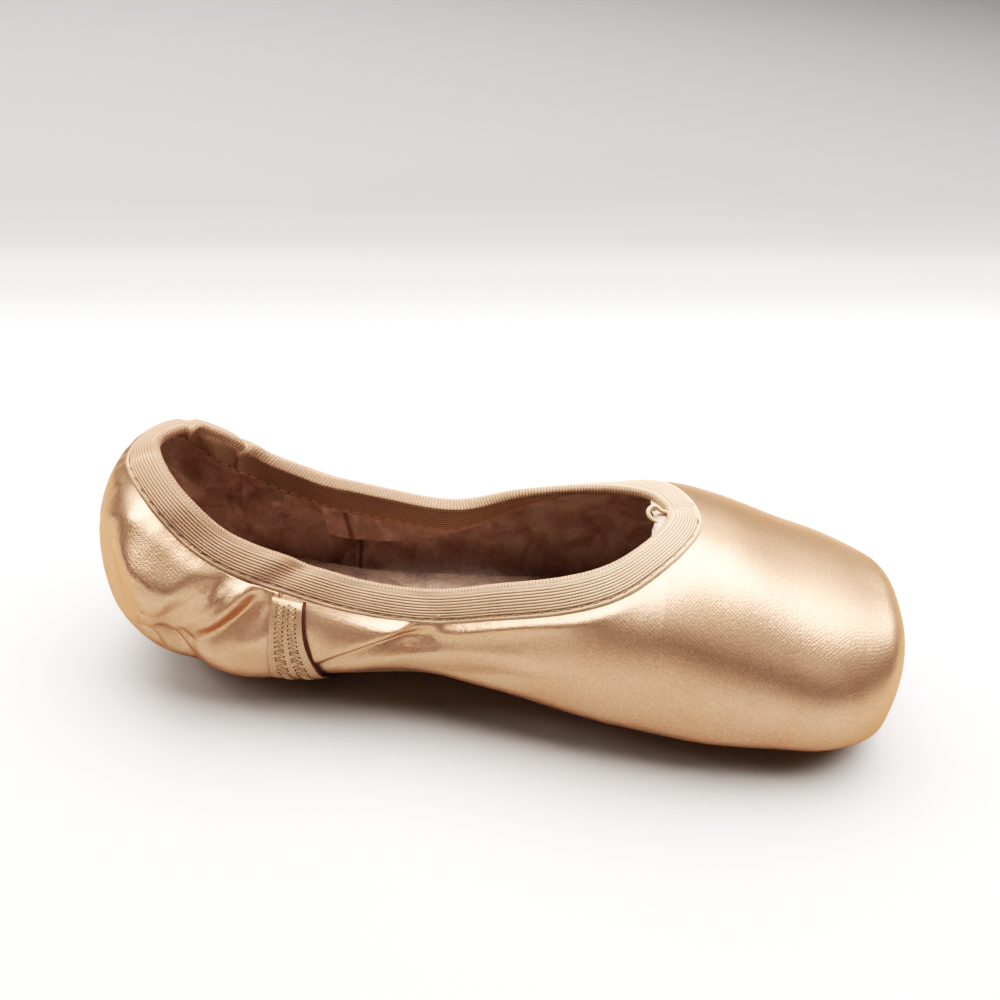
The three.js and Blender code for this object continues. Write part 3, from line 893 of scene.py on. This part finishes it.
panel_edge = heel_quarter + 59 - heel_centre
panel_columns = 221
panel_rows_count = 81
panel_below_rim = 8.0
panel_under_sole = -1.5
panel_stand = 0.2
panel_lift = 1.2

around = np.linspace(panel_edge, -panel_edge, panel_columns)
low = level_at_outline(around, outsole_outline, panel_under_sole, upper=False)
high = level_at_outline(around, collar_outline, panel_below_rim, upper=True)
points, normals, upright = lasted_grid(around, low, high, panel_rows_count)
rim_gap = from_collar(points)
sole_gap = from_outsole(points)
folds = crease_height(np.broadcast_to(around, upright.shape), points[..., 2], heel_creases)
lift = (panel_lift - panel_stand) * eased(rim_gap, 9.5, 14) * eased(sole_gap, 0, 3) + panel_stand
lift = lift * (1 - 0.5 * eased(np.abs(around), panel_edge - 6, panel_edge - 1))
lift = lift + folds * eased(rim_gap, 9, 15) * eased(sole_gap, 0, 6)
heel_panel = sewn_sheet("heel_satin", points + normals * lift[..., None], around[None], upright)
give_wall(heel_panel, satin_thick)
finished(heel_panel, peach_satin, "satin", "heel_panel")


# Side seam bands: a satin tape over each side seam, with two rows of zigzag cover stitch. Its
# front edge is raw and dark red-brown.

band_rows = [
    [-2, 60.0, 77.0], [6, 57.5, 73.0], [12, 55.8, 70.2], [18, 55.2, 68.2], [26, 55.8, 66.2],
    [34, 56.6, 65.4], [42, 57.2, 65.6], [60, 58.0, 66.4],
]
band_middle = 62
band_below_rim = 8.5
band_over_sole = 0.5
band_stand = 0.2
band_lift = 1.35
band_thick = 0.6
band_columns = 25
band_rows_count = 81
raw_width = 0.75
raw_under = 0.3
raw_thick = 0.3

seam_tape = woven_satin("satin_seam_tape", "#dcb798", "#e6c6ac", gloss=0.45, metal=0.5)
# Cut edge of the satin and its canvas, stiff with glue: dark red-brown and matt.
raw_canvas, tree, shader = new_material("glued_raw_edge", Roughness=0.85, Base_Color="#6a3a26")
band_grids = {}
for side, name in ((1, "left"), (-1, "right")):
    middle = np.full(2, side * (heel_quarter + band_middle - heel_centre))
    low = level_at_outline(middle, outsole_outline, band_over_sole, upper=False)[0]
    high = level_at_outline(middle, collar_outline, band_below_rim, upper=True)[0]
    levels = np.linspace(low, high, band_rows_count)
    heights = last_point(np.full(levels.shape, middle[0]), levels)[:, 2]
    edges = curve_through(band_rows, heights)
    share = np.linspace(0, 1, band_columns)[::-side]
    x = edges[:, :1] + (edges[:, 1:] - edges[:, :1]) * share
    place = side * (heel_quarter + x - heel_centre)
    points = last_point(place, np.broadcast_to(levels[:, None], place.shape))
    normals = np.cross(np.gradient(points, axis=1), np.gradient(points, axis=0))
    normals /= np.linalg.norm(normals, axis=2, keepdims=True)
    normals *= np.sign((normals[..., 1] * side).sum())
    rim_gap = from_collar(points)
    sole_gap = from_outsole(points)
    folds = crease_height(place, points[..., 2], heel_creases + upper_creases) * 0.5
    lift = (band_lift - band_stand) * eased(rim_gap, 10, 13) * eased(sole_gap, 0, 3) + band_stand
    lift = lift + folds * eased(rim_gap, 10, 15) * eased(sole_gap, 0, 6)
    run = np.cumsum(np.linalg.norm(np.diff(points, axis=0, prepend=points[:1]), axis=2), axis=0)
    raised = points + normals * lift[..., None]
    band_grids[name] = raised, normals, share
    band = sewn_sheet("seam_tape_" + name, raised, place, run)
    give_wall(band, band_thick)
    finished(band, seam_tape, "satin", "side_seam_band_" + name)
    front = raised[:, np.argmax(share)]
    forward = np.array([1, 0, 0])
    strip = np.stack([front - forward * raw_under, front + forward * raw_width], 1)
    strip = (strip - normals[:, :2] * 0.1)[:, ::-side]
    raw_edge = sewn_sheet("raw_edge_" + name, strip, np.array([[0, 1.0]]), run[:, :2])
    give_wall(raw_edge, raw_thick)
    finished(raw_edge, raw_canvas, "satin")


# Binding: a ribbed elastic tape, ten millimetres wide when folded over the collar's edge. It is
# knitted in ribs with ladders between, and sewn down through all layers near its lower edge.

binding_steps = 700
rib_from = 2.5
rib_pitch = 0.84
rib_count = 8
rib_end = rib_from + rib_pitch * rib_count
rib_height = 0.17
leaf_thick = 0.95
plain_thick = leaf_thick - 0.12
tape_skin = 1.2
tape_end = 11.0
hem_drop = 11.1
seam_drop = 9.55
rim_radius = 1.2
hidden_place = 14

# Puckers of the collar: place along the tape from the heel, half width, how far the edge dips,
# how far the tape sinks in, and the slant of the groove across the tape.
puckers = [
    [11.5, 1.3, 1.5, 0.6, 0.2], [14.5, 2.2, -0.7, 0.0, 0.0], [29.5, 1.1, 1.2, 0.6, -0.3],
    [33.0, 2.5, -0.6, 0.0, 0.0], [55.0, 7.0, 0.6, 0.2, 0.3], [100.0, 9.0, 0.5, 0.0, 0.0],
    [277.0, 3.4, 0.9, 0.45, 0.9], [283.5, 4.5, -0.7, -0.3, 0.9], [262.0, 6.0, 0.4, 0.3, 0.6],
    [300.0, 5.0, 0.4, 0.3, 0.8], [312.0, 4.0, -0.3, -0.3, 0.5], [331.5, 2.0, 0.4, 0.5, 0.2],
    [245.0, 5.0, -0.3, 0.3, -0.6], [166.0, 1.6, 0.8, 0.4, 0.0],
]

path = plan_outline(collar_rows, binding_steps)
edge = np.column_stack([path, over_plan(*path.T)])
along = np.roll(edge, -1, axis=0) - np.roll(edge, 1, axis=0)
along /= np.linalg.norm(along, axis=1, keepdims=True)
step = 0.25
slopes = []
for shift in ([step, 0], [0, step]):
    slopes.append((over_plan(*(path - shift).T) - over_plan(*(path + shift).T)) / (2 * step))
surface_up = np.column_stack([*slopes, np.ones(binding_steps)])
surface_up /= np.linalg.norm(surface_up, axis=1, keepdims=True)
down = np.cross(along, surface_up)
down *= np.sign(np.sum(down[:, :2] * (path - path.mean(axis=0))))


def below_collar(drop):
    """The collar's edge moved down the last's surface."""
    through = edge + down * drop
    core = np.column_stack([np.clip(through[:, 0], core_from, core_to), np.zeros(binding_steps),
                            np.full(binding_steps, float(core_height))])
    near, far = np.full(binding_steps, 0.5), np.full(binding_steps, 1.7)
    for _ in range(32):
        middle = (near + far) / 2
        tried = core + (through - core) * middle[:, None]
        outside = tried[:, 2] > over_plan(tried[:, 0], tried[:, 1])
        far = np.where(outside, middle, far)
        near = np.where(outside, near, middle)
    return core + (through - core) * near[:, None]


def leaf_lift(drop):
    """How thick the tape stands at a distance below the collar's edge, with its ribs."""
    ribs = np.abs(np.sin(math.pi * (drop - rib_from) / rib_pitch)) ** 0.8
    ribbed = (drop > rib_from) & (drop < rib_end)
    lift = np.where(ribbed, leaf_thick - rib_height + rib_height * ribs, plain_thick)
    sewn_at = np.exp(-(((drop - seam_drop) / 0.45) ** 2))
    return lift - 0.35 * sewn_at - 0.4 * eased(drop, 10.2, tape_end)


outer_drops = np.concatenate([np.linspace(rim_radius, rib_from, 5)[:-1],
                              np.linspace(rib_from, rib_end, 49)[:-1],
                              np.linspace(rib_end, tape_end, 9)])
inner_drops = outer_drops[::-2]
hidden_drops = np.array([8.0, 1.6])
rim_turns = np.linspace(math.pi, 0, 11)[1:-1]
drops = np.concatenate([outer_drops, [hem_drop], hidden_drops, hidden_drops[::-1], [hem_drop],
                        inner_drops, rim_radius - rim_radius * np.sin(rim_turns)])
base = np.stack([below_collar(drop) for drop in drops], 1)
knots = np.linspace(0, 11.5, 12)
smooth = np.stack([below_collar(drop) for drop in knots], 1)
ahead = np.roll(smooth, -1, axis=0) - np.roll(smooth, 1, axis=0)
outward = np.cross(ahead, np.gradient(smooth, axis=1))
outward /= np.linalg.norm(outward, axis=2, keepdims=True)
outward *= np.sign(np.sum(outward[..., 2]))
column = np.clip(drops / (knots[1] - knots[0]), 0, len(knots) - 1.001)
lower, part = column.astype(int), (column % 1)[None, :, None]
outward = outward[:, lower] * (1 - part) + outward[:, lower + 1] * part
outward /= np.linalg.norm(outward, axis=2, keepdims=True)

# The inner leaf of the slack left side hangs upright, as the wall below it leans in.
inner_side = np.concatenate([np.zeros(len(outer_drops) + 3), np.ones(len(inner_drops) + 3),
                             np.linspace(1, 0, len(rim_turns) + 2)[1:-1]])
hang = leaning(path[:, 0], path[:, 1])[:, None] * inner_side
hung = edge[:, None] + (base - edge[:, None]) * (1 - hang[..., None])
base = hung + (drops * hang)[..., None] * hanging
level_out = outward * [1, 1, 0]
level_out /= np.maximum(np.linalg.norm(level_out, axis=2, keepdims=True), 1e-6)
outward = outward * (1 - hang[..., None]) + level_out * hang[..., None]
outward /= np.linalg.norm(outward, axis=2, keepdims=True)

half_rim = tape_skin / 2 + plain_thick
stands = np.concatenate([
    leaf_lift(outer_drops), [0.15, 0.1, 0.1, -tape_skin - 0.1, -tape_skin - 0.1, -tape_skin - 0.15],
    -tape_skin - leaf_lift(inner_drops), -tape_skin / 2 + half_rim * np.cos(rim_turns),
])
ring = base + outward * stands[:, None]
run = np.concatenate([[0], np.cumsum(np.linalg.norm(np.diff(edge, axis=0), axis=1))])
full_run = run[-1] + np.linalg.norm(edge[0] - edge[-1])
for place, half, dip, sink, slant in puckers:
    off = run[:, None] - place - slant * drops
    off = (off + full_run / 2) % full_run - full_run / 2
    shape = np.exp(-((off / half) ** 2))
    lowered = dip * shape * np.exp(-drops / 5)
    sunk = sink * shape * eased(drops, 0.5, 3) * (1 - eased(drops, 9.5, 11))
    ring = ring - surface_up[:, None] * lowered[..., None] - outward * sunk[..., None]
tape_across = np.concatenate([outer_drops, [hidden_place] * 6, -inner_drops,
                              rim_radius * np.cos(rim_turns)])
closed = np.concatenate([ring, ring[:1]])
closed = np.concatenate([closed, closed[:, :1]], axis=1).transpose(1, 0, 2)
tape_up = np.append(tape_across, tape_across[0])[:, None] * np.ones(binding_steps + 1)
binding = sewn_sheet("knit_binding", closed, np.append(run, full_run)[None], tape_up)
close_seams(binding, 0.01)
edited(binding, bpy.ops.mesh.normals_make_consistent, inside=False)

# Knitted elastic, polyester over rubber: satiny ribs, with ladders of holes between them, darkened with
# painted shade.
knit_front = "#dabd9f"
knit_heel = "#bb977a"
knit_deep_and_shade = "#8c6145"
knit_dark_and_shade = "#6b432b"
needle_hole_shade = "#4a2a1b"
ladder_step = 0.8
stitch_step = 3.3
needle_hole = 0.26
knit_step = 0.8
knit_row = 0.62
cord_step = 0.95
pick_step = 0.5
# The knit's arithmetic on the tape's own measures: what is reckoned, how, and from what. X runs
# along the tape and Y across it. PINGPONG repeats a pattern: 0 at each place, 0.5 between two.
knit_sums = [
    ("off", "ABSOLUTE", "Y"), ("across", "DIVIDE", "off", mm), ("along", "DIVIDE", "X", mm),
    ("ribs", "SUBTRACT", "across", rib_from), ("ribs", "DIVIDE", "ribs", rib_pitch),
    ("rib_gap", "PINGPONG", "ribs", 0.5),
    ("after", "GREATER_THAN", "across", rib_from - 0.2),
    ("before", "LESS_THAN", "across", rib_end + 0.2), ("in_ribs", "MULTIPLY", "after", "before"),
    ("rise", "MULTIPLY", "rib_gap", 3.5), ("rise", "MINIMUM", "rise", 1.0),
    ("groove", "SUBTRACT", 1.0, "rise"), ("groove", "MULTIPLY", "groove", "in_ribs"),
    ("rung", "DIVIDE", "along", ladder_step), ("rung", "PINGPONG", "rung", 0.5),
    ("in_rung", "LESS_THAN", "rung", 0.26), ("in_gap", "LESS_THAN", "rib_gap", 0.16),
    ("hole", "MULTIPLY", "in_rung", "in_gap"), ("hole", "MULTIPLY", "hole", "in_ribs"),
    ("off_row", "SUBTRACT", "across", seam_drop), ("off_row", "POWER", "off_row", 2.0),
    ("stitch", "DIVIDE", "along", stitch_step), ("stitch", "PINGPONG", "stitch", 0.5),
    ("stitch", "MULTIPLY", "stitch", stitch_step), ("stitch", "MULTIPLY", "stitch", 0.6),
    ("stitch", "POWER", "stitch", 2.0), ("needle", "ADD", "stitch", "off_row"),
    ("needle", "LESS_THAN", "needle", needle_hole**2),
    ("rows", "DIVIDE", "across", knit_row), ("row_gap", "PINGPONG", "rows", 0.5),
    ("shift", "FLOOR", "rows"), ("shift", "MULTIPLY", "shift", 0.5),
    ("knit", "DIVIDE", "along", knit_step), ("knit", "ADD", "knit", "shift"),
    ("knit", "PINGPONG", "knit", 0.5), ("knit", "LESS_THAN", "knit", 0.2),
    ("in_row", "GREATER_THAN", "row_gap", 0.22), ("knit", "MULTIPLY", "knit", "in_row"),
    ("plain", "LESS_THAN", "across", rib_from), ("knit", "MULTIPLY", "knit", "plain"),
    ("cords", "DIVIDE", "along", cord_step), ("cords", "PINGPONG", "cords", 0.5),
    ("rim", "LESS_THAN", "across", 1.5), ("cords", "MULTIPLY", "cords", "rim"),
    ("picks", "DIVIDE", "along", pick_step), ("picks", "PINGPONG", "picks", 0.5),
    ("dent", "MULTIPLY", "picks", 0.5), ("dent", "SUBTRACT", "dent", "hole"),
    ("dent", "SUBTRACT", "dent", "knit"), ("deep", "MULTIPLY", "cords", 2.0),
    ("dent", "SUBTRACT", "dent", "deep"), ("deep", "MULTIPLY", "needle", 2.0),
    ("dent", "SUBTRACT", "dent", "deep"),
]
# How strongly each part of the pattern takes its darker colour. The grooves, the ladder holes, the
# needle holes and the gaps between the cords take painted shade; the rest is the tape's own pattern.
knit_shades = [
    ("groove", 0.7, knit_deep_and_shade), ("picks", 0.35, knit_deep_and_shade), ("worn", 0.25, knit_deep_and_shade),
    ("cords", 1.5, knit_deep_and_shade), ("knit", 0.45, knit_dark_and_shade), ("hole", 0.7, knit_dark_and_shade),
    ("needle", 1.0, needle_hole_shade),
]
knitted_elastic, tree, shader = new_material(
    "knitted_elastic", Roughness=0.6, Sheen_Weight=0.3, Sheen_Roughness=0.5)
uv = add_node(tree, "UVMap")
found = {"worn": add_node(tree, "TexNoise", Vector=uv, Scale=120, Detail=2)}
for name in ("X", "Y"):
    found[name] = add_node(tree, "SeparateXYZ", uv, output=name)
for name, operation, *parts in knit_sums:
    parts = [found[part] if isinstance(part, str) else part for part in parts]
    found[name] = add_node(tree, "Math", *parts, operation=operation)
# The tape is paler in front and darker around the heel.
place = add_node(tree, "TexCoord", output="Object")
lengthwise = add_node(tree, "SeparateXYZ", place, output="X")
heelward = add_node(tree, "MapRange", lengthwise, From_Min=0.03, From_Max=-0.06)
tone = add_node(tree, "Mix", heelward, knit_front, knit_heel, **blended)
for name, strength, colour in knit_shades:
    strength = add_node(tree, "Math", found[name], strength, operation="MULTIPLY")
    tone = add_node(tree, "Mix", strength, tone, colour, **blended)
cover(tree, shader, tone, found["dent"], 0.12, 0.8)
finished(binding, knitted_elastic, "knit_tape", "binding")


# Stitching: polyester thread. Straight stitches hold the binding, and a zigzag covers each side
# seam in two rows. Each stitch is a short bead of thread, drawn in at both ends.

thread_thick = 0.34
thread_stand = 0.05
stitch_from = 0.1
stitch_to = 0.9
zigzag_rows = (0.30, 0.68)
zigzag_swing = 0.11
zigzag_step = 0.75
zigzag_thick = 0.5
zigzag_stand = 0.08
zigzag_bottom = 2.5
zigzag_top = 1.0
hole_size = 0.5
hole_stand = 0.05
sewing_thread, tree, shader = new_material(
    "polyester_thread", Roughness=0.5, Base_Color="#d9b797", Sheen_Weight=0.2)
# Needle holes: painted shade. Dark beads stand in for the shade in the small dimple where the thread
# pulls the satin down.
needle_shade, tree, shader = new_material(
    "needle_hole_painted_shade", Roughness=0.9, Base_Color="#6b432c")


def sewn_stitches(name, starts, ends, outwards, thick, material):
    """One mesh of stitches, each copied from a bead and laid from its start to its end."""
    bpy.ops.object.select_all(action="DESELECT")
    bpy.ops.mesh.primitive_uv_sphere_add(segments=6, ring_count=5, radius=0.5)
    bead = bpy.context.object
    shape = np.array([v.co for v in bead.data.vertices])
    faces = [list(p.vertices) for p in bead.data.polygons]
    bpy.data.objects.remove(bead)
    run = ends - starts
    size = np.linalg.norm(run, axis=1, keepdims=True)
    ahead = run / size
    beside = np.cross(ahead, outwards)
    beside /= np.linalg.norm(beside, axis=1, keepdims=True)
    above = np.cross(beside, ahead)
    placed = (starts + ends)[:, None] / 2
    placed = placed + shape[None, :, 2:] * (ahead * size)[:, None]
    placed = placed + shape[None, :, :1] * beside[:, None] * thick
    placed = placed + shape[None, :, 1:2] * above[:, None] * thick
    mesh = bpy.data.meshes.new(name)
    many = [[c + i * len(shape) for c in face] for i in range(len(starts)) for face in faces]
    mesh.from_pydata(to_frame(placed.reshape(-1, 3)).tolist(), [], many)
    row = bpy.data.objects.new(name, mesh)
    bpy.context.scene.collection.objects.link(row)
    edited(row, bpy.ops.mesh.normals_make_consistent, inside=False)
    bpy.ops.object.shade_smooth()
    finished(row, material, "satin")


def around_collar(line, places):
    """Points of a closed line around the collar, at distances along the tape."""
    looped = np.concatenate([line, line[:1]])
    return np.stack([np.interp(places, np.append(run, full_run), looped[:, i]) for i in range(3)], 1)


stitch_count = int(full_run / stitch_step)
starts = (np.arange(stitch_count) + stitch_from) * full_run / stitch_count
ends = (np.arange(stitch_count) + stitch_to) * full_run / stitch_count
outer_line = np.argmin(np.abs(outer_drops - seam_drop))
inner_line = len(drops) - len(rim_turns) - len(inner_drops) + np.argmin(np.abs(inner_drops - seam_drop))
for name, line, turned in (("outside", outer_line, 1), ("inside", inner_line, -1)):
    facing = around_collar(outward[:, line] * turned, starts)
    first = around_collar(ring[:, line], starts) + facing * thread_stand
    second = around_collar(ring[:, line], ends) + facing * thread_stand
    sewn_stitches("binding_stitches_" + name, first, second, facing, thread_thick, sewing_thread)

for name, (raised, normals, share) in band_grids.items():
    steps = np.linalg.norm(np.diff(raised[:, band_columns // 2], axis=0), axis=1)
    climb = np.concatenate([[0], np.cumsum(steps)])
    places = np.arange(zigzag_bottom, climb[-1] - zigzag_top, zigzag_step)
    rows = np.rint(np.interp(places, climb, np.arange(len(climb)))).astype(int)
    swing = np.where(np.arange(len(places)) % 2, zigzag_swing, -zigzag_swing)
    starts, ends, facings = [], [], []
    for middle in zigzag_rows:
        columns = np.interp(middle + swing, np.sort(share), np.argsort(share))
        columns = np.rint(columns).astype(int)
        starts.append(raised[rows[:-1], columns[:-1]])
        ends.append(raised[rows[1:], columns[1:]])
        facings.append(normals[rows[:-1], columns[:-1]])
    starts, ends, facings = [np.concatenate(part) for part in (starts, ends, facings)]
    sewn_stitches("zigzag_stitches_" + name, starts + facings * zigzag_stand,
                  ends + facings * zigzag_stand, facings, zigzag_thick, sewing_thread)
    facings = np.concatenate([facings, facings[-1:]])
    holes = np.concatenate([starts, ends[-1:]]) + facings * hole_stand
    up = np.array([0, 0, hole_size / 2])
    sewn_stitches("zigzag_hole_shades_" + name, holes - up, holes + up, facings, hole_size, needle_shade)


# Drawstring loop: the bight of a thin braided cotton cord that runs inside the binding and comes
# out of it at the throat.

cord_places = [
    [164.2, 1.6, 59.2], [161.6, 1.5, 60.0], [160.4, 2.1, 60.6], [159.0, 1.9, 60.7],
    [158.0, 0.5, 60.3], [158.5, -1.0, 59.4], [160.3, -1.7, 58.5], [161.6, -1.4, 58.2],
    [164.0, -1.4, 58.0],
]
cord_thick = 1.2
cord_steps = 80
cord_sides = 14
plait_pitch = 0.9

knots = np.linspace(0, 1, len(cord_places))
route = curve_through(np.column_stack([knots, cord_places]), np.linspace(0, 1, cord_steps))
ahead = np.gradient(route, axis=0)
ahead /= np.linalg.norm(ahead, axis=1, keepdims=True)
beside = np.cross(ahead, [0, 0.35, 1])
beside /= np.linalg.norm(beside, axis=1, keepdims=True)
above = np.cross(beside, ahead)
turns = np.linspace(0, 2 * math.pi, cord_sides + 1)
run = np.concatenate([[0], np.cumsum(np.linalg.norm(np.diff(route, axis=0), axis=1))])[:, None]
radius = cord_thick / 2 * (0.93 + 0.09 * np.abs(np.cos(turns * 2 - run / plait_pitch * math.pi)))
tube = route[:, None] + beside[:, None] * (np.cos(turns) * radius)[..., None]
tube = tube + above[:, None] * (np.sin(turns) * radius)[..., None]
cord = sewn_sheet("drawstring_cord", tube, turns[None] * cord_thick / 2,
                  np.broadcast_to(run, radius.shape))
close_seams(cord, 0.01)
edited(cord, bpy.ops.mesh.fill_holes, sides=0)
edited(cord, bpy.ops.mesh.normals_make_consistent, inside=False)
bpy.ops.object.shade_smooth()
# Braided cotton: matt and cream, with a fine plait.
braided_cotton, tree, shader = new_material("braided_cotton", Roughness=0.85)
place = add_node(tree, "TexCoord", output="Object")
plait = add_node(tree, "TexNoise", Vector=place, Scale=1500, Detail=2)
cotton = add_node(tree, "Mix", plait, "#bda584", "#dccaab", **blended)
fill(tree, shader.inputs["Base Color"], cotton)
finished(cord, braided_cotton, "cotton_cord", "drawstring_loop")
